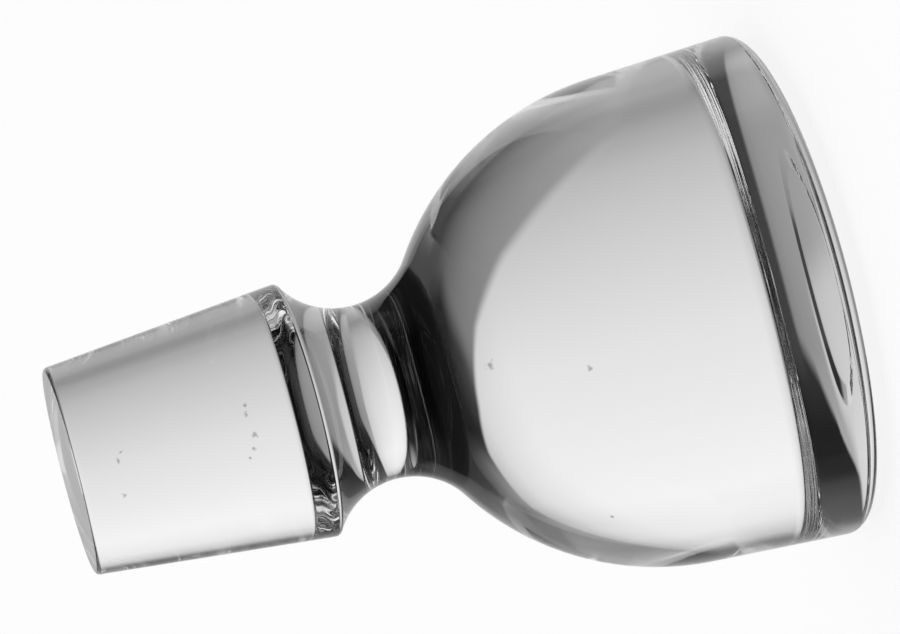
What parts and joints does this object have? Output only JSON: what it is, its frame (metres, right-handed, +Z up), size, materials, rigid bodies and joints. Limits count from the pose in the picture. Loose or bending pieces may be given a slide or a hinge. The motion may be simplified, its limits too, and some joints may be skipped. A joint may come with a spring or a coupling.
{
  "type": "glass stopper",
  "caption": "Solid clear glass stopper with a tapered plug that seals a bottle neck, a waisted grip and a bell-shaped head with a low flat boss in the middle of its face.",
  "frame": {"origin": "centre of the flat boss on the head's face, on which the stopper stands", "axes": "+Z up the axis, from the head to the small end of the plug; X and Y are any two directions across it"},
  "size_m": [0.0478, 0.0478, 0.0712],
  "materials": {
    "glass": "clear, polished"
  },
  "bodies": {
    "root": {"stopper": "glass"}
  },
  "joints": []
}
